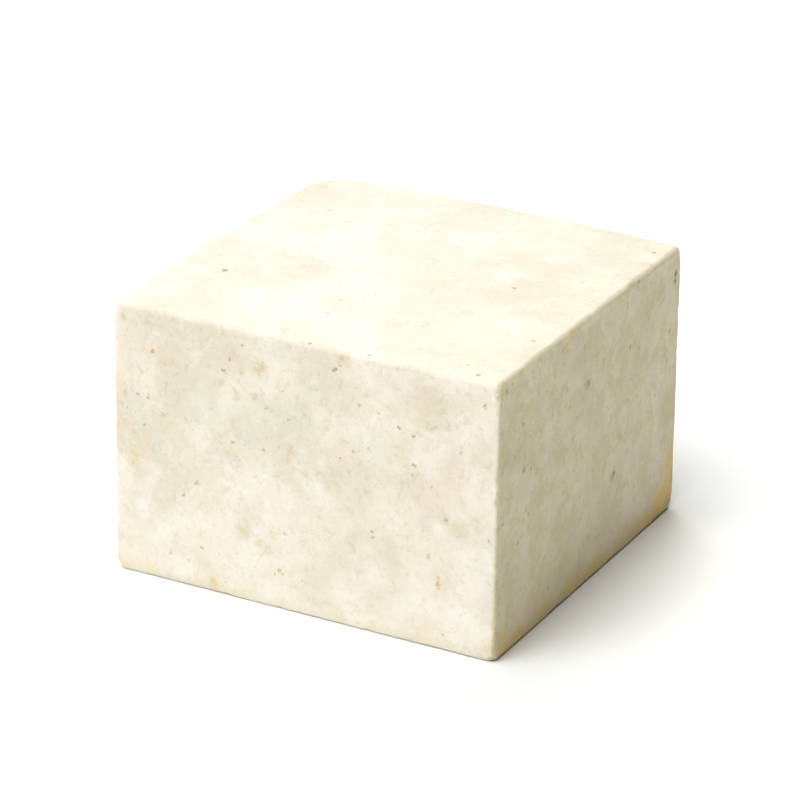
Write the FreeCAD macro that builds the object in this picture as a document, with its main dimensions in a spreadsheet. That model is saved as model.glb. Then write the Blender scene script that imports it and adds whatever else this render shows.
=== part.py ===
"""A solid stone block: one sawn and honed piece, a little wider than it is deep.

Frame: +Z up, origin at the middle of the base, X along the width, Y along the depth. The
front face looks towards -Y and the right face towards +X. All sizes are in millimetres.
"""

import FreeCAD, Part
import Sketcher

import os

PARTS_FOLDER = "parts"

# Driving dimensions: alias, value, meaning.
DIMENSIONS = [
    ("BlockWidth", 60.0, "overall size along X"),
    ("BlockDepth", 59.4, "overall size along Y"),
    ("BlockHeight", 41.5, "overall size along Z"),
    ("SideArris", 0.5, "radius of the upright arrises"),
    ("TopArris", 0.8, "radius of the arrises round the top, the most handled ones"),
    ("BaseArris", 0.45, "radius of the arrises round the base"),
    ("BreakWidth", 4.2, "reach along X of the break at the back left top corner"),
    ("BreakDepth", 3.9, "reach along Y of that break"),
    ("BreakDrop", 6.5, "reach of that break down the upright arris"),
    ("CutClear", 1.0, "how far a cutting outline stands clear of the faces"),
    ("ArrisChipRadius", 1.1, "radius of the scallop in the front right arris"),
    ("ArrisChipBite", 0.35, "depth of that scallop in the front face"),
    ("ArrisChipDrop", 2.3, "distance of that scallop's middle below the top"),
    ("FootChipRadius", 1.9, "radius of the scallop in the front left foot corner"),
    ("FootChipBite", 1.0, "depth of that scallop along the corner's diagonal"),
]


def make_sheet(doc):
    """The spreadsheet of driving dimensions: name, value and meaning, one row each."""
    sheet = doc.addObject("Spreadsheet::Sheet", "Dimensions")
    for row, (alias, value, meaning) in enumerate(DIMENSIONS, start=1):
        sheet.set(f"A{row}", alias)
        sheet.set(f"B{row}", str(value))
        sheet.set(f"C{row}", meaning)
        sheet.setAlias(f"B{row}", alias)
    doc.recompute()
    return sheet


def base_plane(body):
    """The body's own XY plane."""
    return next(f for f in body.Origin.OriginFeatures if f.Role == "XY_Plane")


def new_sketch(body, name):
    """An empty sketch on the body's XY plane."""
    sketch = body.newObject("Sketcher::SketchObject", name)
    sketch.AttachmentSupport = [(base_plane(body), "")]
    sketch.MapMode = "FlatFace"
    return sketch


def draw_outline(sketch, points):
    """A closed outline of straight lines; line i starts at points[i]."""
    count = len(points)
    corners = [FreeCAD.Vector(x, y, 0) for x, y in points]
    for i in range(count):
        sketch.addGeometry(Part.LineSegment(corners[i], corners[(i + 1) % count]), False)
    for i in range(count):
        sketch.addConstraint(Sketcher.Constraint("Coincident", i, 2, (i + 1) % count, 1))


def hold_coordinate(sketch, line, kind, expression):
    """Binds one coordinate of a line's start point to its distance from the origin.

    kind is DistanceX or DistanceY. The side of the origin stays the one it is drawn on.
    """
    start = sketch.Geometry[line].StartPoint
    drawn = start.x if kind == "DistanceX" else start.y
    if drawn > 0:
        ends = (-1, 1, line, 1)
    else:
        ends = (line, 1, -1, 1)
    index = sketch.addConstraint(Sketcher.Constraint(kind, *ends, abs(drawn)))
    sketch.setExpression(f"Constraints[{index}]", expression)


def hold_point(sketch, line, x_expression, y_expression):
    """Binds both coordinates of a line's start point."""
    hold_coordinate(sketch, line, "DistanceX", x_expression)
    hold_coordinate(sketch, line, "DistanceY", y_expression)


def make_blank(doc, body, sheet):
    """The sawn blank: a rectangle centred on the origin, padded up to the top face."""
    half_width = sheet.BlockWidth / 2
    half_depth = sheet.BlockDepth / 2
    sketch = new_sketch(body, "PlanOutline")
    draw_outline(
        sketch,
        [
            (-half_width, -half_depth),
            (half_width, -half_depth),
            (half_width, half_depth),
            (-half_width, half_depth),
        ],
    )
    for corner in range(4):
        hold_point(sketch, corner, "Dimensions.BlockWidth / 2", "Dimensions.BlockDepth / 2")
    pad = body.newObject("PartDesign::Pad", "SawnBlank")
    pad.Profile = sketch
    pad.setExpression("Length", "Dimensions.BlockHeight")
    doc.recompute()
    return pad


def break_section(body, sheet, name, width_run, depth_run, height):
    """A triangle over the back left corner, seen from above, at the given height.

    Its long side cuts width_run off the back face and depth_run off the left face. Its
    other two sides stand clear of the block, and the long side is carried on to them.
    """
    sketch = new_sketch(body, name)
    sketch.setExpression("AttachmentOffset.Base.z", height)
    left = sheet.BlockWidth / 2 + sheet.CutClear
    back = sheet.BlockDepth / 2 + sheet.CutClear
    draw_outline(
        sketch,
        [(-left, back), (-left, back - sheet.BreakDepth), (sheet.BreakWidth - left, back)],
    )
    clear = "Dimensions.CutClear"
    slope = "Dimensions.BreakDepth / Dimensions.BreakWidth"
    left_side = f"Dimensions.BlockWidth / 2 + {clear}"
    back_side = f"Dimensions.BlockDepth / 2 + {clear}"
    on_left_side = f"Dimensions.BlockDepth / 2 - {depth_run} - {clear} * {slope}"
    on_back_side = f"Dimensions.BlockWidth / 2 - {width_run} - {clear} / ({slope})"
    hold_point(sketch, 0, left_side, back_side)
    hold_point(sketch, 1, left_side, on_left_side)
    hold_point(sketch, 2, on_back_side, back_side)
    return sketch


def make_break(doc, body, sheet):
    """The broken back left top corner: a slanting facet that runs out down the arris."""
    top = break_section(
        body,
        sheet,
        "BreakAtTop",
        "Dimensions.BreakWidth",
        "Dimensions.BreakDepth",
        "Dimensions.BlockHeight",
    )
    foot = break_section(
        body, sheet, "BreakAtFoot", "0", "0", "Dimensions.BlockHeight - Dimensions.BreakDrop"
    )
    doc.recompute()
    facet = body.newObject("PartDesign::SubtractiveLoft", "BackCornerBreak")
    facet.Profile = top
    facet.Sections = [foot]
    facet.Ruled = True
    doc.recompute()
    return facet


def stands_upright(edge):
    """True for an edge parallel to Z."""
    box = edge.BoundBox
    return box.ZLength > 1 and box.XLength < 0.001 and box.YLength < 0.001


def lies_at(height):
    """A test for edges that lie wholly at one height."""

    def test(edge):
        box = edge.BoundBox
        return abs(box.ZMin - height) < 0.001 and abs(box.ZMax - height) < 0.001

    return test


def round_edges(doc, body, name, base, wanted, radius):
    """Rounds those edges of the base feature for which wanted(edge) is true."""
    edges = base.Shape.Edges
    names = [f"Edge{i}" for i, edge in enumerate(edges, start=1) if wanted(edge)]
    fillet = body.newObject("PartDesign::Fillet", name)
    fillet.Base = (base, names)
    fillet.setExpression("Radius", radius)
    doc.recompute()
    return fillet


def make_arrises(doc, body, sheet, base):
    """The softened arrises: the uprights first, then round the top, then round the base."""
    at_top = lies_at(sheet.BlockHeight)
    at_base = lies_at(0)
    sides = round_edges(
        doc, body, "SideArrises", base, stands_upright, "Dimensions.SideArris"
    )
    top = round_edges(doc, body, "TopArrises", sides, at_top, "Dimensions.TopArris")
    return round_edges(doc, body, "BaseArrises", top, at_base, "Dimensions.BaseArris")


def make_scallop(doc, body, name, radius, centre):
    """A shell-shaped chip: a ball taken out of the surface. centre is x, y, z expressions."""
    ball = body.newObject("PartDesign::SubtractiveSphere", name)
    ball.AttachmentSupport = [(base_plane(body), "")]
    ball.MapMode = "FlatFace"
    ball.setExpression("Radius", radius)
    for axis, expression in zip("xyz", centre):
        ball.setExpression(f"AttachmentOffset.Base.{axis}", expression)
    doc.recompute()
    return ball


def make_chips(doc, body):
    """The chip in the front right arris near the top, and the one at the front left foot."""
    outside_face = "(Dimensions.ArrisChipRadius - Dimensions.ArrisChipBite)"
    arris_chip = make_scallop(
        doc,
        body,
        "FrontArrisChip",
        "Dimensions.ArrisChipRadius",
        (
            "Dimensions.BlockWidth / 2 - Dimensions.SideArris",
            f"-Dimensions.BlockDepth / 2 - {outside_face}",
            "Dimensions.BlockHeight - Dimensions.ArrisChipDrop",
        ),
    )
    outside = "(Dimensions.FootChipRadius - Dimensions.FootChipBite) / sqrt(3)"
    foot_chip = make_scallop(
        doc,
        body,
        "FootCornerChip",
        "Dimensions.FootChipRadius",
        (
            f"-Dimensions.BlockWidth / 2 - {outside}",
            f"-Dimensions.BlockDepth / 2 - {outside}",
            f"-{outside}",
        ),
    )
    return [arris_chip, foot_chip]


def make_block(doc, sheet):
    """The whole block as one body. Returns it with the features that must remove stone."""
    body = doc.addObject("PartDesign::Body", "StoneBlock")
    body.Label = "stone_block"
    make_blank(doc, body, sheet)
    corner_break = make_break(doc, body, sheet)
    make_arrises(doc, body, sheet, corner_break)
    return body, [corner_break, *make_chips(doc, body)]


def check_objects(doc):
    """Stops if any object of the document failed to compute."""
    for item in doc.Objects:
        if "Invalid" in item.State or "Error" in item.State:
            raise RuntimeError(f"{item.Name} failed: {item.State}")


def check_cuts(cuts):
    """Stops if a cutting feature took nothing away."""
    for cut in cuts:
        removed = cut.BaseFeature.Shape.Volume - cut.Shape.Volume
        print(f"{cut.Name} removes {removed:.3f} mm3")
        if removed <= 0:
            raise RuntimeError(f"{cut.Name} cuts nothing")


def check_solid(body):
    """Stops unless the body is one valid solid."""
    shape = body.Shape
    if shape.isNull() or not shape.isValid() or len(shape.Solids) != 1:
        raise RuntimeError(f"{body.Label} isn't one valid solid")


def write_step(body):
    """Writes the body to its own STEP file and prints its size."""
    body.Shape.exportStep(os.path.join(PARTS_FOLDER, f"{body.Label}.step"))
    box = body.Shape.optimalBoundingBox(False, False)
    size = f"{box.XLength:.2f} x {box.YLength:.2f} x {box.ZLength:.2f} mm"
    print(f"{body.Label}: {size}, {body.Shape.Volume / 1000:.2f} cm3")


def main():
    doc = FreeCAD.newDocument("StoneBlock")
    sheet = make_sheet(doc)
    body, cuts = make_block(doc, sheet)
    doc.recompute()
    check_objects(doc)
    check_cuts(cuts)
    check_solid(body)
    os.makedirs(PARTS_FOLDER, exist_ok=True)
    write_step(body)


main()
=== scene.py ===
"""Looks for the honed stone block: a detailed mesh in place of the plain CAD solid, a procedural
stone material, a pale floor, soft studio light and the camera. Works in metres; shapes and marks
are written in millimetres and scaled once."""

import math

import bpy
import numpy as np
from mathutils import Matrix, Vector, noise


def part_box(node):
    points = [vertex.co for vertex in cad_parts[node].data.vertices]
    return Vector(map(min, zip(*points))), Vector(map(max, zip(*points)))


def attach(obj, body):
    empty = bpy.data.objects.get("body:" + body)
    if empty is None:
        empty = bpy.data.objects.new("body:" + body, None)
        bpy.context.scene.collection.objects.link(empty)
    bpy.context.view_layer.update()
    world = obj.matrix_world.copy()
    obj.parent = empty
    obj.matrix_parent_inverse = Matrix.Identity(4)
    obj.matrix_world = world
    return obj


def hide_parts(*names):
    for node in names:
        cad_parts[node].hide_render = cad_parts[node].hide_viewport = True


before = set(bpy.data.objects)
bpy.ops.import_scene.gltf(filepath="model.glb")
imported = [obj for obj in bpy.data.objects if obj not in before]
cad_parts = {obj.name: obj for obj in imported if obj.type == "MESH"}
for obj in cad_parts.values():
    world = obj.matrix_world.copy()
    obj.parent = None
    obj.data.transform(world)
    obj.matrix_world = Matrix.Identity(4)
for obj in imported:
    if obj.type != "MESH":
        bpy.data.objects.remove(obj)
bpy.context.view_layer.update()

NODE = "stone_block"
MM = 0.001
BLOCK_LOW, BLOCK_HIGH = (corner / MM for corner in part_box(NODE))
WIDTH, DEPTH, HEIGHT = BLOCK_HIGH - BLOCK_LOW
HALF = np.array([WIDTH, DEPTH, HEIGHT]) / 2
MIDDLE = np.array((BLOCK_LOW + BLOCK_HIGH) / 2)

# ---------------------------------------------------------------- shape of the block, in mm

GRID_STEP = 0.49
EDGE_STEPS = (0.1, 0.1, 0.12, 0.15, 0.18, 0.22, 0.28, 0.36)
TOP_ARRIS = 0.9
SIDE_ARRIS = 0.42
BASE_ARRIS = 0.65

# Where the sawn corners stand away from a true block: (x side, y side, top) -> shift.
CORNER_SHIFTS = {
    (-1, -1, 1): (-0.15, -0.05, -0.15),
    (-1, 1, 1): (0.2, 0.15, 0.1),
    (1, 1, 1): (-0.3, -0.1, 0.2),
    (1, -1, 1): (0.05, 0.0, 0.0),
    (-1, -1, 0): (-0.3, -0.05, 0.0),
    (1, -1, 0): (0.2, 0.1, 0.0),
    (1, 1, 0): (0.1, 0.0, 0.0),
}

# How far the top stands proud along its back and left edges, and the sides' fullness.
BACK_CROWN = 0.55
LEFT_CROWN = 0.4
SIDE_BULGE = 0.12

# The knocked-off corner: its reach along the back, left and upright arrises, and its soft edge.
BREAK_REACH = (3.8, 3.6, 6.0)
BREAK_EDGE = 1.0
CHIP_EDGE = 0.06
NICK_SPACING = 7
PULL_ROUNDS = 8


def grid_lines(low, high):
    """Positions from one face to the opposite one, packed closer near both."""
    margin = np.cumsum((0,) + EDGE_STEPS)
    count = round((high - low - 2 * margin[-1]) / GRID_STEP)
    middle = np.linspace(low + margin[-1], high - margin[-1], count + 1)
    return np.concatenate([low + margin[:-1], middle, high - margin[-2::-1]])


def box_grid(lines):
    """A closed box of quads on the given x, y and z lines: points and faces."""
    counts = [len(line) for line in lines]
    number = np.full(counts, -1)
    on_skin = np.zeros(counts, bool)
    for axis in range(3):
        for end in (0, -1):
            layer = [slice(None)] * 3
            layer[axis] = end
            on_skin[tuple(layer)] = True
    places = np.argwhere(on_skin)
    number[on_skin] = np.arange(len(places))
    points = np.stack([lines[axis][places[:, axis]] for axis in range(3)], 1)
    faces = []
    for axis in range(3):
        for end, flipped in ((0, True), (-1, False)):
            layer = np.moveaxis(number, axis, 0)[end]
            if axis == 1:
                flipped = not flipped
            a, b = layer[:-1, :-1], layer[1:, :-1]
            c, d = layer[1:, 1:], layer[:-1, 1:]
            ring = (a, d, c, b) if flipped else (a, b, c, d)
            faces.append(np.stack([corner.ravel() for corner in ring], 1))
    return points, np.concatenate(faces)


def noise_at(points, size, seed):
    """Smooth noise from -1 to 1, one value per point, with features of about size mm."""
    shift = Vector((seed * 17.3, seed * 5.1, seed * 29.7))
    return np.array([noise.noise(Vector(p) / size + shift) for p in points])


def step_between(value, start, end):
    """0 before start, 1 after end, smooth between."""
    t = np.clip((value - start) / (end - start), 0, 1)
    return t * t * (3 - 2 * t)


def round_cut(a, b, radius):
    """The part inside both of two shapes, given as distances, with a rounded edge."""
    u = np.maximum(radius + a, 0)
    v = np.maximum(radius + b, 0)
    return np.minimum(-radius, np.maximum(a, b)) + np.hypot(u, v)


def arris_radius(points):
    """Radius of the nearest arris: larger round the top and base, and uneven along its length."""
    z = points[:, 2]
    top = step_between(z, HEIGHT - 3, HEIGHT - 1)
    base = step_between(z, 2, 1)
    plain = SIDE_ARRIS + (TOP_ARRIS - SIDE_ARRIS) * top + (BASE_ARRIS - SIDE_ARRIS) * base
    wear = 0.28 * noise_at(points, 5, 1) + 0.16 * noise_at(points, 1.6, 2)
    return plain * (1 + wear)


def rounded_box(points, radius):
    """Distance to the block with its arrises rounded, less than 0 inside."""
    q = np.abs(points - MIDDLE) - HALF + radius[:, None]
    outside = np.linalg.norm(np.maximum(q, 0), axis=1)
    return outside + np.minimum(q.max(axis=1), 0) - radius


class CornerBreak:
    """The knocked-off back left top corner: a slightly rough slanting facet."""

    def __init__(self):
        along_back, along_left, down = BREAK_REACH
        corner = Vector((BLOCK_LOW.x, BLOCK_HIGH.y, BLOCK_HIGH.z))
        on_back = corner + Vector((along_back, 0, 0))
        on_left = corner - Vector((0, along_left, 0))
        on_arris = corner - Vector((0, 0, down))
        outward = (on_left - on_back).cross(on_arris - on_back).normalized()
        if outward.dot(corner - on_back) < 0:
            outward.negate()
        self.outward = np.array(outward)
        self.level = outward.dot(on_back)

    def cut(self, points, shape, rough):
        facet = points @ self.outward - self.level + 0.5 * rough
        return round_cut(shape, facet, BREAK_EDGE)


class Chip:
    """A small shell-shaped chip: a ball whose surface cuts bite deep into an arris."""

    def __init__(self, place, outward, radius, bite):
        outward = Vector(outward).normalized()
        self.centre = np.array(Vector(place) + outward * (radius - bite))
        self.radius = radius

    def cut(self, points, shape, rough):
        hollow = self.radius * (1 + 0.35 * rough) - np.linalg.norm(points - self.centre, axis=1)
        return round_cut(shape, hollow, CHIP_EDGE)


def arris_nicks():
    """Small nicks all along the twelve arrises, at seeded random places."""
    random = np.random.RandomState(7)
    chips = []
    for axis in range(3):
        length = 2 * HALF[axis]
        others = [a for a in range(3) if a != axis]
        for side_a in (-1, 1):
            for side_b in (-1, 1):
                for _ in range(int(length / NICK_SPACING)):
                    place = np.zeros(3)
                    place[axis] = random.uniform(-0.95, 0.95) * HALF[axis]
                    outward = np.zeros(3)
                    outward[others[0]] = side_a
                    outward[others[1]] = side_b
                    size = random.uniform(0.25, 1.0) ** 2
                    place[others[0]] = side_a * HALF[others[0]]
                    place[others[1]] = side_b * HALF[others[1]]
                    radius = 0.4 + 0.6 * size
                    bite = 0.28 + 0.2 * size
                    chips.append(Chip(place + MIDDLE, outward, radius, bite))
    return chips


def big_chips():
    """The chips on the front arrises, then the worn corners at the right foot."""
    left, right = BLOCK_LOW.x, BLOCK_HIGH.x
    front, back, top = BLOCK_LOW.y, BLOCK_HIGH.y, BLOCK_HIGH.z
    return [
        Chip((right - 0.35, front, top - 2.1), (0.5, -1, 0), 0.75, 0.42),
        Chip((right, front, top), (1, -1, 1), 1.5, 0.75),
        Chip((left, front, 0), (-1, -1, -0.6), 1.7, 0.85),
        Chip((left, front, top), (-1, -1, 1), 1.6, 0.8),
        Chip((right, front, 0), (1, -1, -1.2), 4.0, 0.95),
        Chip((right, back, 0), (1, 1, -0.5), 6.0, 1.1),
    ]


def pull_to_surface(points):
    """Moves the box grid's points straight toward the middle, onto the worn block."""
    radius = arris_radius(points)
    rough = 0.1 * noise_at(points, 0.9, 3) + 0.2 * noise_at(points, 2.5, 4)
    above_base = step_between(points[:, 2], 0.6, 3)
    dents = above_base * (0.035 * noise_at(points, 14, 5) + 0.012 * noise_at(points, 4, 6))
    corner_break = CornerBreak()
    chips = big_chips() + arris_nicks()

    def distance(p):
        shape = rounded_box(p, radius) - dents
        shape = corner_break.cut(p, shape, rough)
        for chip in chips:
            shape = chip.cut(p, shape, rough)
        return shape

    inward = MIDDLE - points
    inward /= np.linalg.norm(inward, axis=1)[:, None]
    small = 0.002
    for _ in range(PULL_ROUNDS):
        here = distance(points)
        slope = (distance(points + small * inward) - here) / small
        step = np.clip(here / np.minimum(slope, -0.3), -0.5, 0.5)
        points = points - step[:, None] * inward
    return points


def out_of_square(points):
    """Shifts each point by its share of the corner shifts, and crowns the top a little."""
    moved = points.copy()
    share = (points - np.array(BLOCK_LOW)) / (2 * HALF)
    x, y, z = share.T
    arch_x = 4 * x * (1 - x)
    arch_y = 4 * y * (1 - y)
    moved[:, 2] += z * (BACK_CROWN * arch_x * y + LEFT_CROWN * arch_y * (1 - x))
    moved[:, 0] += SIDE_BULGE * (2 * x - 1)
    for (side_x, side_y, top), shift in CORNER_SHIFTS.items():
        near_x = x if side_x > 0 else 1 - x
        near_y = y if side_y > 0 else 1 - y
        near_z = z if top else 1 - z
        moved += (near_x * near_y * near_z)[:, None] * np.array(shift)
    return moved


def make_block():
    """The block's mesh as one closed piece."""
    lines = [grid_lines(BLOCK_LOW[axis], BLOCK_HIGH[axis]) for axis in range(3)]
    points, faces = box_grid(lines)
    points = out_of_square(pull_to_surface(points))
    mesh = bpy.data.meshes.new("honed_stone_block")
    mesh.from_pydata((points * MM).tolist(), [], faces.tolist())
    mesh.validate()
    mesh.shade_smooth()
    block = bpy.data.objects.new("honed_stone_block", mesh)
    bpy.context.scene.collection.objects.link(block)
    return block


# ---------------------------------------------------------------- stone material

PALE = (0.845, 0.793, 0.676)
TAN = (0.74, 0.662, 0.52)
GREEN_GREY = (0.72, 0.7, 0.57)
PINK = (0.82, 0.725, 0.605)
WHITE = (0.91, 0.862, 0.795)
DULL = (0.68, 0.6, 0.457)
OCHRE = (0.64, 0.52, 0.25)
RUST = (0.66, 0.44, 0.11)
DARK = (0.23, 0.165, 0.06)
UMBER = (0.16, 0.1, 0.015)
BROWN = (0.42, 0.32, 0.15)
# Vein colour; also laid along the base, partly as painted shade.
VEIN_AND_FOOT_SHADE = (0.56, 0.52, 0.42)
# Painted shade: the right face, which lies in shade, is toned darker and warmer.
RIGHT_PAINTED_SHADE = (0.94, 0.9, 0.72)
TOP_TONE = (0.985, 0.965, 0.92)
# Painted light: a pale wash over the top face; then painted shade that darkens it a little.
TOP_PAINTED_GLARE = (0.83, 0.81, 0.69)
TOP_SHADE = (0.99, 0.985, 0.98)
FRESH = (0.95, 0.94, 0.9)
# Brown stain along the foot, partly painted shade at the base.
FOOT_STAIN_AND_SHADE = (0.76, 0.58, 0.21)
# Painted light: the pale band along the top of the right face.
RIGHT_RIM_PAINTED_LIGHT = (0.96, 0.85, 0.54)
AMBER = (0.8, 0.54, 0.13)
OLIVE = (0.45, 0.4, 0.16)
RIGHT_OLIVE_TINT = (0.68, 0.63, 0.38)
RIGHT_GREY_TINT = (0.8, 0.73, 0.66)

# Marks placed one by one: across and up on the front face, from its left foot, then the size.
FRONT_RUST = [
    (6, 35, 0.5), (4.5, 23.5, 0.4), (19, 24, 0.4), (19.5, 22, 0.3), (24, 24, 0.4),
    (26.5, 6, 0.55), (25.7, 5.4, 0.4), (27, 5.6, 0.35), (47, 10.5, 0.3), (42, 33.5, 0.3),
    (51.6, 11, 0.4), (51.5, 10.5, 0.5), (51.5, 9.9, 0.6), (51.5, 9.4, 0.45),
]
FRONT_DARK = [
    (17.5, 34.5, 0.4), (35, 38.5, 0.6), (39, 34, 0.35), (45, 32, 0.45), (38, 27, 0.4),
    (47.5, 27, 0.4), (47.3, 25.5, 0.3), (54.5, 30.5, 0.35), (58, 38, 0.5), (3.5, 28, 0.4),
    (12.5, 24.5, 0.35), (13, 16.5, 0.5), (11, 14, 0.4), (41.2, 15.6, 0.4), (41.3, 14.7, 0.4),
    (50, 14, 0.4), (52.5, 20, 0.4), (14, 6.5, 0.4), (52.5, 2.5, 0.4), (28, 29.5, 0.35),
    (36, 25.5, 0.3), (20.5, 39, 0.35),
]
FRONT_TAN = [
    (6, 38, 8), (20, 38, 7), (34, 38, 8), (46, 37, 6), (22, 10.5, 5), (45, 24, 6), (3, 21, 4),
    (40, 22, 4),
]
FRONT_GREEN = [(13, 28, 7), (22, 27, 8), (30, 30, 7), (13, 18, 4), (40, 28, 5)]
FRESH_CHIPS = [(59.4, 39.3, 0.6), (59.8, 40, 0.4)]
FRONT_OCHRE = [
    (16.5, 33, 1.4), (23.5, 36, 1.7), (22.5, 31.5, 1.3), (17, 26, 0.9), (1, 27.5, 1),
    (17.5, 40.5, 0.9), (36.5, 40.5, 1.6), (57.5, 21, 0.7), (25.7, 11.6, 1.2), (5, 21, 0.8),
    (2.5, 15.5, 1), (3, 18.5, 1.1), (16, 1.5, 1.2), (59, 1.8, 1.2), (21, 10.8, 2.1),
    (23, 9.5, 1.8), (24.5, 8.5, 1.3), (25.7, 11.8, 1.6), (1.5, 39, 1.0), (7.5, 26, 1.0),
    (33, 33, 1.0), (30.5, 22, 1.1), (50.5, 33, 1.0), (44, 18.5, 0.9), (11.5, 34, 1.0),
    (29, 13, 1.0),
]
FRONT_AMBER = [
    (3, 18.5, 1.6), (2.5, 15.5, 1.5), (0.5, 27.5, 1.0), (6, 1.5, 1.5), (16, 1.5, 1.6),
    (27, 1.3, 2.0), (59, 2, 1.6), (8, 23, 1.2), (9, 4.5, 1.2), (24.5, 26, 1.2),
]
FRONT_WHITE = [
    (19, 16.5, 3), (33, 18.5, 3.5), (28, 17.5, 2.5), (4, 10.5, 2.5), (8, 7, 2.5), (56, 15, 4),
    (51.5, 18, 2.5), (48, 7, 6), (55, 6, 4), (37, 5, 5), (10, 2.5, 4), (27, 2, 4),
    (41, 8.6, 3.5), (50, 29, 4.5), (1.5, 16, 2), (57, 11, 3), (55, 34, 5),
]
# On the right face: away from the front arris, up, size.
RIGHT_DARK = [
    (2, 40, 0.7), (3.5, 40.3, 0.5), (28, 31.5, 1.1), (8, 26, 0.6), (1.7, 20.5, 0.6),
    (7, 19, 0.5), (1.6, 12.5, 0.5), (7.5, 33, 0.5), (22, 30, 0.5), (42, 32, 0.6),
    (57.4, 38, 0.9), (57.3, 36.9, 0.8), (56, 29.5, 0.6), (16.5, 4.5, 0.6), (37.8, 13.9, 0.8),
    (13, 30, 0.4),
]
RIGHT_TAN = [(34, 8, 8), (26, 3, 7), (38, 16, 6), (48, 30, 7), (3, 30, 6), (4, 38, 5)]
RIGHT_GREEN = [(14, 16, 7), (30, 22, 6), (50, 36, 6), (12, 35, 5), (22, 10, 6)]
RIGHT_RUST = [(37.3, 13.5, 1.3), (3, 36, 0.4)]
RIGHT_OCHRE = [
    (17, 34, 2), (39, 19, 2), (35, 16, 1.6), (54, 1.5, 3), (1.5, 3, 1.6), (22.5, 40.5, 1.6),
    (28, 40.7, 1.5), (42, 40.7, 1.4), (45, 0.8, 2.5), (30, 0.6, 2.5), (16, 0.6, 2),
]
RIGHT_AMBER = [(60, 3, 6), (60, 7, 4.6), (57, 1, 6), (60, 10.5, 2.2), (54, -0.5, 3.5)]
RIGHT_OLIVE = [(59.4, 1, 3.2), (57, 0, 3.2), (54, -0.3, 3), (59.6, 5, 2)]
ARRIS_AMBER = [(22.5, 41.2, 1.8), (42.5, 41.3, 1.0), (25, 41.4, 1.2)]
RIGHT_WHITE = [
    (4, 24, 6), (10, 22, 7), (52, 22, 6), (44.5, 7.5, 5.5), (46.5, 5, 4.5), (18, 4.5, 2.5),
    (27, 13, 3), (10, 15, 3),
]
# On the top face: from the left arris, from the front arris, size.
TOP_DARK = [
    (7.8, 16.8, 0.8), (46.5, 31.5, 0.75), (57.5, 54.5, 0.6), (42, 49, 0.6), (24, 28, 0.45),
    (31, 19.5, 0.6), (27.5, 15.5, 0.5), (28, 10.5, 0.45), (57, 16, 0.5), (40, 0.6, 0.5),
    (56, 1.7, 0.6), (23, 37, 0.5), (39, 50.5, 0.5), (15, 57, 0.5),
]
TOP_RUST = [(7.4, 17.2, 0.5), (54, 58.8, 0.4)]
TOP_OCHRE = [(1.4, 38.5, 1.6), (3, 54, 2), (44, 57, 1.4), (59, 50, 1.2)]
TOP_DEEP = [(7.8, 16.8, 0.8), (46.5, 31.5, 0.65)]
RIGHT_DEEP = [(57.4, 37.9, 0.9), (57.2, 36.9, 0.7), (37.8, 13.9, 0.75)]
TOP_WHITE = [
    (16.5, 35, 4.5), (4.5, 31.5, 4), (35.5, 51.5, 3), (43, 34.5, 5), (15.5, 11, 4),
    (34.5, 8, 4), (26, 24, 2.5), (53, 18, 4),
]


def on_front(marks):
    return [(BLOCK_LOW.x + u, BLOCK_LOW.y, v, size) for u, v, size in marks]


def on_right(marks):
    return [(BLOCK_HIGH.x, BLOCK_LOW.y + u, v, size) for u, v, size in marks]


def on_top(marks):
    return [(BLOCK_LOW.x + u, BLOCK_LOW.y + v, BLOCK_HIGH.z, size) for u, v, size in marks]


def on_hidden_faces(seed, count, smallest, largest):
    """Marks at seeded random places on the back and left faces, which the photo doesn't show."""
    random = np.random.RandomState(seed)
    marks = []
    for _ in range(count):
        across, up = random.uniform(0.03, 0.97, 2)
        size = random.uniform(smallest, largest)
        marks.append((BLOCK_LOW.x + across * WIDTH, BLOCK_HIGH.y, up * HEIGHT, size))
        across, up = random.uniform(0.03, 0.97, 2)
        marks.append((BLOCK_LOW.x, BLOCK_LOW.y + across * DEPTH, up * HEIGHT, size))
    return marks


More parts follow.
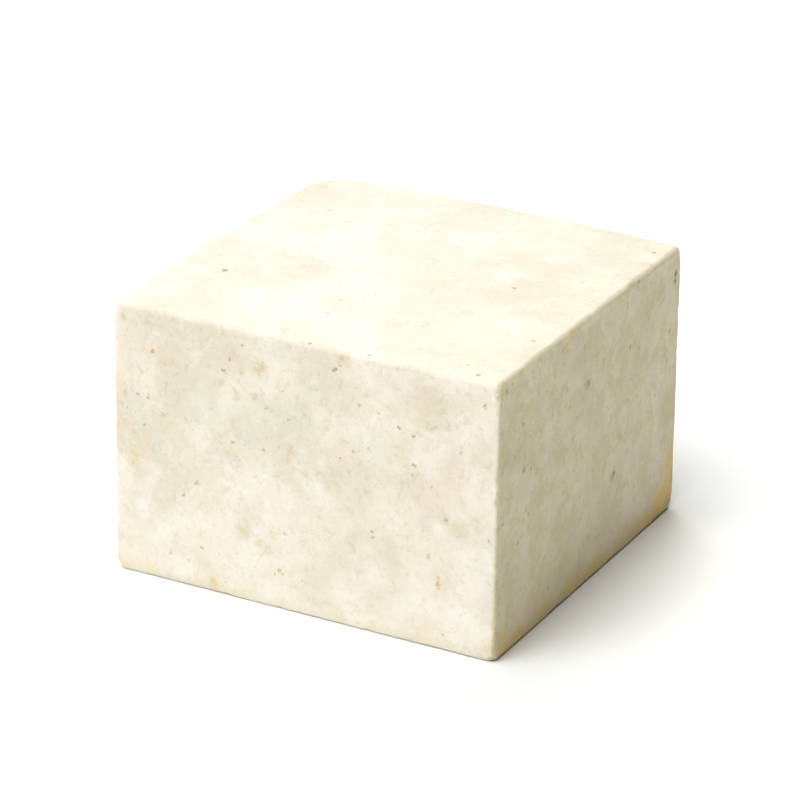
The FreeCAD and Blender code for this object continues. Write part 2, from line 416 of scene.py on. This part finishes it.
class Shading:
    """Short calls for building a node tree; every call gives back an output socket."""

    def __init__(self, tree):
        self.tree = tree

    def node(self, kind, **settings):
        made = self.tree.nodes.new(kind)
        for name, value in settings.items():
            setattr(made, name, value)
        return made

    def feed(self, socket, value):
        if isinstance(value, bpy.types.NodeSocket):
            self.tree.links.new(value, socket)
        elif value is not None:
            socket.default_value = value

    def math(self, kind, a, b=None, c=None, clamp=False):
        made = self.node("ShaderNodeMath", operation=kind, use_clamp=clamp)
        for socket, value in zip(made.inputs, (a, b, c)):
            self.feed(socket, value)
        return made.outputs[0]

    def vector(self, kind, a, b=None, scale=None):
        made = self.node("ShaderNodeVectorMath", operation=kind)
        self.feed(made.inputs[0], a)
        self.feed(made.inputs[1], b)
        if scale is not None:
            made.inputs["Scale"].default_value = scale
        return made.outputs["Value" if kind == "DISTANCE" else "Vector"]

    def between(self, value, start, end, low=0.0, high=1.0):
        made = self.node("ShaderNodeMapRange", interpolation_type="SMOOTHSTEP")
        for socket, given in zip(made.inputs, (value, start, end, low, high)):
            self.feed(socket, given)
        return made.outputs[0]

    def noise(self, place, size, detail=3.0, roughness=0.55, distortion=0.0, colour=False):
        made = self.node("ShaderNodeTexNoise")
        self.feed(made.inputs["Vector"], place)
        made.inputs["Scale"].default_value = 1 / size
        made.inputs["Detail"].default_value = detail
        made.inputs["Roughness"].default_value = roughness
        made.inputs["Distortion"].default_value = distortion
        return made.outputs["Color" if colour else "Fac"]

    def cells(self, place, size):
        """Voronoi cells: distance to the middle of the cell, in mm, and its random colour."""
        made = self.node("ShaderNodeTexVoronoi")
        self.feed(made.inputs["Vector"], place)
        made.inputs["Scale"].default_value = 1 / size
        distance = self.math("MULTIPLY", made.outputs["Distance"], size)
        parts = self.node("ShaderNodeSeparateColor")
        self.feed(parts.inputs[0], made.outputs["Color"])
        return distance, parts.outputs

    def blend(self, amount, a, b, kind="MIX"):
        made = self.node("ShaderNodeMix", data_type="RGBA", blend_type=kind)
        self.feed(made.inputs[0], amount)
        for socket, value in zip(made.inputs[6:8], (a, b)):
            if isinstance(value, tuple):
                value = (*value, 1.0)
            self.feed(socket, value)
        return made.outputs[2]


def marks_mask(s, place, marks, softness):
    """1 at the middle of each mark, falling to 0 at its rim."""
    mask = 0.0
    for x, y, z, size in marks:
        away = s.vector("DISTANCE", place, (x, y, z))
        near = s.math("MULTIPLY_ADD", away, -1 / size, 1.0)
        mask = s.math("MAXIMUM", mask, near)
    return s.between(mask, 0.0, softness)


def specks(s, place, size, share, reach):
    """Small round specks in a share of the cells, each of its own size."""
    away, chance = s.cells(place, size)
    chosen = s.math("LESS_THAN", chance[0], share)
    radius = s.math("MULTIPLY_ADD", chance[1], reach * 0.8, reach * 0.35)
    inside = s.between(s.math("DIVIDE", away, radius), 1.0, 0.2)
    strength = s.math("MULTIPLY_ADD", chance[2], 0.6, 0.35)
    return s.math("MULTIPLY", s.math("MULTIPLY", inside, chosen), strength)


def vein_lines(s, place, size, width):
    """Thin wandering lines where a noise crosses its middle value."""
    field = s.noise(place, size, 2.0, 0.5, 0.6)
    off = s.math("ABSOLUTE", s.math("SUBTRACT", field, 0.5))
    return s.between(off, width, 0.0)


def right_face_mask(s, x, y, z):
    """1 on the right face, changing to 0 in the middle of each arris round it."""
    inset = s.math("SUBTRACT", x, BLOCK_HIGH.x)
    from_front = s.math("ADD", inset, s.math("SUBTRACT", y, BLOCK_LOW.y))
    from_back = s.math("ADD", inset, s.math("SUBTRACT", BLOCK_HIGH.y, y))
    from_top = s.math("ADD", inset, s.math("SUBTRACT", BLOCK_HIGH.z, z))
    nearest = s.math("MINIMUM", s.math("MINIMUM", from_front, from_back), from_top)
    return s.between(nearest, -0.3, 0.5)


def bent(s, start, p, size, detail, roughness, reach):
    """The start place, moved to and fro by a noise read at p, by up to half the reach in mm."""
    turn = s.vector("SUBTRACT", s.noise(p, size, detail, roughness, colour=True), (0.5, 0.5, 0.5))
    return s.vector("ADD", start, s.vector("SCALE", turn, scale=reach))


class StonePaint:
    """The stone's base colour, laid on coat by coat. Places are in mm and bent by noises, so
    that marks get ragged outlines: near and crumbly for small marks, middling and wide for
    larger ones, warped for clouds."""

    def __init__(self, s, p):
        self.s = s
        self.plain = p
        self.warped = bent(s, p, p, 9, 2.0, 0.5, 9.0)
        self.near = bent(s, p, p, 0.8, 2.0, 0.6, 0.6)
        self.crumbly = bent(s, self.near, p, 0.4, 2.0, 0.6, 0.8)
        self.middling = bent(s, self.crumbly, p, 3.5, 3.0, 0.6, 3.4)
        self.wide = bent(s, p, p, 3.5, 3.0, 0.6, 6.0)
        parts = s.node("ShaderNodeSeparateXYZ")
        s.feed(parts.inputs[0], self.near)
        self.x, self.y, self.z = parts.outputs
        self.right = right_face_mask(s, self.x, self.y, self.z)
        self.top = s.between(self.z, HEIGHT - 1, HEIGHT - 0.3)
        self.patches = self.noise(self.warped, (5.0, 60.0, 21.0), 7, 4.0, 0.6)
        self.mottle = self.noise(p, (9.0, 2.0, 70.0), 2.6, 5.0, 0.68)
        self.freckles = self.noise(self.near, (31.0, 8.0, 12.0), 1.1, 3.0, 0.65)
        self.blotches = self.noise(p, (3.0, 44.0, 9.0), 3.2, 3.0, 0.6)
        self.broken = self.noise(self.near, (7.0, 70.0, 1.0), 1.0, 3.0, 0.6)
        self.colour = PALE

    def noise(self, place, shift, size, detail, roughness):
        """A noise read shift mm away from the place, so that no two noises match."""
        return self.s.noise(self.s.vector("ADD", place, shift), size, detail, roughness)

    def coat(self, colour, amount, *shares):
        """Lays a colour on by the amount, cut down by each share."""
        for share in shares:
            amount = self.s.math("MULTIPLY", amount, share)
        self.colour = self.s.blend(amount, self.colour, colour)

    def tone(self, tone, amount):
        """Multiplies the colour by a tone where the amount is 1."""
        toned = self.s.blend(1.0, self.colour, tone, "MULTIPLY")
        self.colour = self.s.blend(amount, self.colour, toned)

    def clouds(self):
        s = self.s
        clouds = s.noise(self.warped, 15, 4.0, 0.58)
        self.coat(TAN, s.between(clouds, 0.38, 0.64))
        tint = self.noise(self.warped, (40.0, 7.0, 3.0), 11, 3.0, 0.55)
        self.coat(GREEN_GREY, s.between(tint, 0.5, 0.68, 0.0, 0.85))
        self.coat(PINK, s.between(tint, 0.46, 0.3, 0.0, 0.5))
        tans = on_front(FRONT_TAN) + on_right(RIGHT_TAN)
        self.coat(TAN, marks_mask(s, self.wide, tans, 0.85), 0.6)
        greens = on_front(FRONT_GREEN) + on_right(RIGHT_GREEN)
        self.coat(GREEN_GREY, marks_mask(s, self.wide, greens, 0.85), 0.6)

    def white_patches(self):
        s = self.s
        self.coat(WHITE, s.between(self.patches, 0.48, 0.74, 0.0, 0.55))
        whites = on_front(FRONT_WHITE) + on_right(RIGHT_WHITE) + on_top(TOP_WHITE)
        self.coat(WHITE, marks_mask(s, self.wide, whites, 1.0), 0.65)

    def mottling(self):
        s = self.s
        self.coat(DULL, s.between(self.mottle, 0.52, 0.74, 0.0, 0.6))
        self.coat(WHITE, s.between(self.mottle, 0.46, 0.26, 0.0, 0.5))
        self.coat(BROWN, s.between(self.freckles, 0.54, 0.7, 0.0, 0.2))
        grain = s.between(s.noise(self.plain, 0.55, 3.0, 0.65), 0.25, 0.75, 0.97, 1.03)
        shade = s.node("ShaderNodeCombineColor")
        for socket in shade.inputs:
            s.feed(socket, grain)
        self.colour = s.blend(1.0, self.colour, shade.outputs[0], "MULTIPLY")

    def right_face_mottling(self):
        s = self.s
        self.coat(DULL, s.between(self.blotches, 0.46, 0.64, 0.0, 0.55), self.right)
        self.coat(BROWN, s.between(self.freckles, 0.52, 0.68, 0.0, 0.24), self.right)
        hue = self.noise(self.plain, (61.0, 5.0, 33.0), 4.5, 4.0, 0.65)
        self.coat(RIGHT_OLIVE_TINT, s.between(hue, 0.48, 0.62, 0.0, 0.6), self.right)
        self.coat(RIGHT_GREY_TINT, s.between(hue, 0.5, 0.36, 0.0, 0.7), self.right)

    def painted_top_glare_and_shade(self):
        # Painted light: a pale wash flattens the top face's markings, as glare on the lit top
        # would; then painted shade darkens the top a little.
        self.coat(TOP_PAINTED_GLARE, self.top, 0.18)
        self.tone(TOP_SHADE, self.top)

    def veins(self):
        s = self.s
        flattened = s.vector("MULTIPLY", self.wide, (1.0, 1.0, 2.2))
        veined = s.between(s.noise(self.plain, 12, 2.0), 0.5, 0.62)
        self.coat(VEIN_AND_FOOT_SHADE, vein_lines(s, flattened, 22, 0.012), veined, 0.3)

    def small_specks(self):
        s = self.s
        self.coat(OCHRE, specks(s, self.middling, 6.0, 0.4, 1.5), 0.4)
        self.coat(BROWN, specks(s, self.crumbly, 1.8, 0.45, 0.3), 0.65)
        self.coat(DARK, specks(s, self.crumbly, 3.2, 0.45, 0.38), 0.85)
        self.coat(BROWN, specks(s, self.crumbly, 0.9, 0.4, 0.22), 0.18)

    def placed_marks(self):
        s = self.s
        ochres = on_front(FRONT_OCHRE) + on_right(RIGHT_OCHRE) + on_top(TOP_OCHRE)
        ochres += on_hidden_faces(1, 7, 0.8, 1.8)
        ragged = s.between(self.broken, 0.36, 0.64, 0.15, 0.85)
        self.coat(OCHRE, marks_mask(s, self.middling, ochres, 0.9), ragged)
        rusts = on_front(FRONT_RUST) + on_right(RIGHT_RUST) + on_top(TOP_RUST)
        rusts += on_hidden_faces(2, 4, 0.3, 0.55)
        rust = marks_mask(s, self.crumbly, rusts, 1.0)
        self.coat(RUST, s.between(rust, 0.0, 0.6, 0.0, 0.8))
        self.coat(BROWN, s.between(rust, 0.6, 1.0, 0.0, 0.55))
        darks = on_front(FRONT_DARK) + on_right(RIGHT_DARK) + on_top(TOP_DARK)
        darks += on_hidden_faces(3, 14, 0.3, 0.6)
        self.coat(DARK, marks_mask(s, self.crumbly, darks, 0.9), 0.66)
        deep = on_right(RIGHT_DEEP) + on_top(TOP_DEEP)
        self.coat(UMBER, marks_mask(s, self.near, deep, 0.9), 0.65)
        self.coat(FRESH, marks_mask(s, self.near, on_front(FRESH_CHIPS), 0.6))

    def face_tones_and_painted_light(self):
        """Paler toward the base; on the right face painted shade, darker and warmer, with a painted
        pale rim of light under its top arris; warmer top right.
        """
        s = self.s
        self.coat(WHITE, s.between(self.z, 26, 6, 0.0, 0.2))
        # Painted shade: the right face is made darker and warmer.
        self.tone(RIGHT_PAINTED_SHADE, self.right)
        # Painted light: a pale band along the top of the right face, just under its arris, made
        # patchy by the blotches.
        rim = s.between(self.z, HEIGHT - 1.8, HEIGHT - 0.2, 0.0, 0.7)
        self.coat(RIGHT_RIM_PAINTED_LIGHT, rim, self.right, s.between(self.blotches, 0.4, 0.6, 0.9, 0.3))
        toward_right = s.between(self.x, -12, 30)
        self.tone(TOP_TONE, s.math("MULTIPLY", toward_right, s.between(self.z, HEIGHT - 1, HEIGHT)))

    def foot_stains_and_shade(self):
        s = self.s
        # Darker along the base of every face: partly a brown stain, partly painted contact shade
        # under the rounded base arris. On the right face the band reaches higher and is browner.
        self.coat(VEIN_AND_FOOT_SHADE, s.between(self.z, 1.9, 0.4, 0.0, 0.2))
        height = s.math("ADD", self.z, s.between(self.blotches, 0.35, 0.65, -1.2, 1.2))
        foot = s.between(height, 2.2, 0.0, 0.0, 0.15)
        right_foot_stain_and_shade = s.math("MULTIPLY", s.between(height, 4.8, 0.0, 0.0, 0.95), self.right)
        behind_arris = s.between(self.y, BLOCK_LOW.y + 0.3, BLOCK_LOW.y + 2.5)
        right_foot_stain_and_shade = s.math("MULTIPLY", right_foot_stain_and_shade, behind_arris)
        self.coat(FOOT_STAIN_AND_SHADE, s.math("MAXIMUM", foot, right_foot_stain_and_shade))

    def amber_stains(self):
        s = self.s
        corner = marks_mask(s, self.middling, on_right(RIGHT_AMBER), 0.35)
        smudges = on_right(ARRIS_AMBER) + on_front(FRONT_AMBER)
        smudge = marks_mask(s, self.middling, smudges, 2.1)
        amber = s.math("MAXIMUM", s.math("MULTIPLY", corner, 1.25), smudge)
        fading_round_back = s.between(self.y, BLOCK_HIGH.y - 0.4, BLOCK_HIGH.y, 1.0, 0.3)
        self.coat(AMBER, amber, s.between(self.broken, 0.3, 0.7, 0.5, 0.85), fading_round_back)
        olive = marks_mask(s, self.middling, on_right(RIGHT_OLIVE), 0.8)
        self.coat(OLIVE, olive, 0.75, fading_round_back)


def paint_stone(s, p):
    """All the coats, in order."""
    paint = StonePaint(s, p)
    paint.clouds()
    paint.white_patches()
    paint.mottling()
    paint.right_face_mottling()
    paint.painted_top_glare_and_shade()
    paint.veins()
    paint.small_specks()
    paint.placed_marks()
    paint.face_tones_and_painted_light()
    paint.foot_stains_and_shade()
    paint.amber_stains()
    return paint


def make_stone():
    material = bpy.data.materials.new("honed_cream_stone")
    material.use_nodes = True
    tree = material.node_tree
    s = Shading(tree)
    shader = tree.nodes["Principled BSDF"]
    place = s.node("ShaderNodeTexCoord").outputs["Object"]
    p = s.vector("SCALE", place, scale=1 / MM)
    paint = paint_stone(s, p)
    s.feed(shader.inputs["Base Color"], paint.colour)
    s.feed(shader.inputs["Roughness"], s.between(paint.patches, 0.3, 0.7, 0.5, 0.38))
    shader.inputs["IOR"].default_value = 1.5
    shader.inputs["Subsurface Weight"].default_value = 0.22
    shader.inputs["Subsurface Radius"].default_value = (1.1, 1.0, 0.8)
    shader.inputs["Subsurface Scale"].default_value = MM

    fine = s.noise(p, 0.35, 3.0, 0.6)
    relief = s.math("MULTIPLY_ADD", paint.mottle, 0.5, s.math("MULTIPLY", fine, 0.6))
    pits = specks(s, p, 1.3, 0.3, 0.2)
    relief = s.math("MULTIPLY_ADD", pits, -0.8, relief)
    bump = s.node("ShaderNodeBump")
    bump.inputs["Strength"].default_value = 0.35
    bump.inputs["Distance"].default_value = 0.1 * MM
    s.feed(bump.inputs["Height"], relief)
    s.feed(shader.inputs["Normal"], bump.outputs[0])
    return material


# ---------------------------------------------------------------- studio

CAMERA_AZIMUTH = 27.81
CAMERA_ELEVATION = 23.38
CAMERA_ROLL = -1.01
CAMERA_DISTANCE = 0.5496
CAMERA_AIM = (-0.0001, 0.01997)
CAMERA_LENS = 168.4

FLOOR_COLOUR = (0.925, 0.935, 0.91, 1)
AMBIENT_COLOUR = (1.0, 0.98, 0.92, 1)
AMBIENT_STRENGTH = 0.05

# Soft lamps round the left of the block: direction counted from the right side through the
# back, height above the floor, share of the light. Angles are in degrees.
LAMP_SPREAD = 34
LAMPS = [
    (238, 74, 0.52),
    (265, 54, 0.37),
    (125, 54, 0.30),
    (230, 32, 0.24),
    (128, 32, 0.17),
]


def make_camera():
    """A long lens from the front right, a little above; the aim is given beside the base's
    middle, across and up in the picture."""
    camera = bpy.data.objects.new("camera", bpy.data.cameras.new("camera"))
    camera.data.lens = CAMERA_LENS
    camera.data.sensor_width = 36
    camera.data.clip_start = 0.01
    turn = Matrix.Rotation(math.radians(CAMERA_AZIMUTH), 4, "Z")
    tilt = Matrix.Rotation(math.radians(90 - CAMERA_ELEVATION), 4, "X")
    roll = Matrix.Rotation(math.radians(-CAMERA_ROLL), 4, "Z")
    back = Matrix.Translation((CAMERA_AIM[0], CAMERA_AIM[1], CAMERA_DISTANCE))
    camera.matrix_world = turn @ tilt @ roll @ back
    bpy.context.scene.collection.objects.link(camera)
    bpy.context.scene.camera = camera


def make_sun(name, direction, strength):
    """A soft white lamp far away. direction points from the block to the lamp."""
    lamp = bpy.data.lights.new(name, "SUN")
    lamp.energy = strength
    lamp.angle = math.radians(LAMP_SPREAD)
    sun = bpy.data.objects.new(name, lamp)
    sun.rotation_mode = "QUATERNION"
    sun.rotation_quaternion = Vector(direction).to_track_quat("Z", "Y")
    bpy.context.scene.collection.objects.link(sun)


def make_floor():
    """A wide plain pale floor under the block."""
    size = 3.0
    mesh = bpy.data.meshes.new("floor")
    corners = [(-size, -size, 0), (size, -size, 0), (size, size, 0), (-size, size, 0)]
    mesh.from_pydata(corners, [], [(0, 1, 2, 3)])
    floor = bpy.data.objects.new("floor", mesh)
    bpy.context.scene.collection.objects.link(floor)
    material = bpy.data.materials.new("pale_floor")
    material.use_nodes = True
    shader = material.node_tree.nodes["Principled BSDF"]
    shader.inputs["Base Color"].default_value = FLOOR_COLOUR
    shader.inputs["Roughness"].default_value = 0.9
    mesh.materials.append(material)


def make_studio():
    """Overcast-like light from the left, over a floor bright enough to stay white."""
    world = bpy.data.worlds.new("studio")
    bpy.context.scene.world = world
    world.use_nodes = True
    background = world.node_tree.nodes["Background"]
    background.inputs["Color"].default_value = AMBIENT_COLOUR
    background.inputs["Strength"].default_value = AMBIENT_STRENGTH
    for number, (round_block, height, share) in enumerate(LAMPS):
        across = math.cos(math.radians(height))
        direction = (
            across * math.cos(math.radians(round_block)),
            across * math.sin(math.radians(round_block)),
            math.sin(math.radians(height)),
        )
        make_sun(f"softbox_{number}", direction, math.pi * share)
    make_floor()
    make_camera()
    bpy.context.scene.view_settings.view_transform = "Standard"


block = make_block()
block.data.materials.append(make_stone())
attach(block, "root")
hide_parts(NODE)
make_studio()
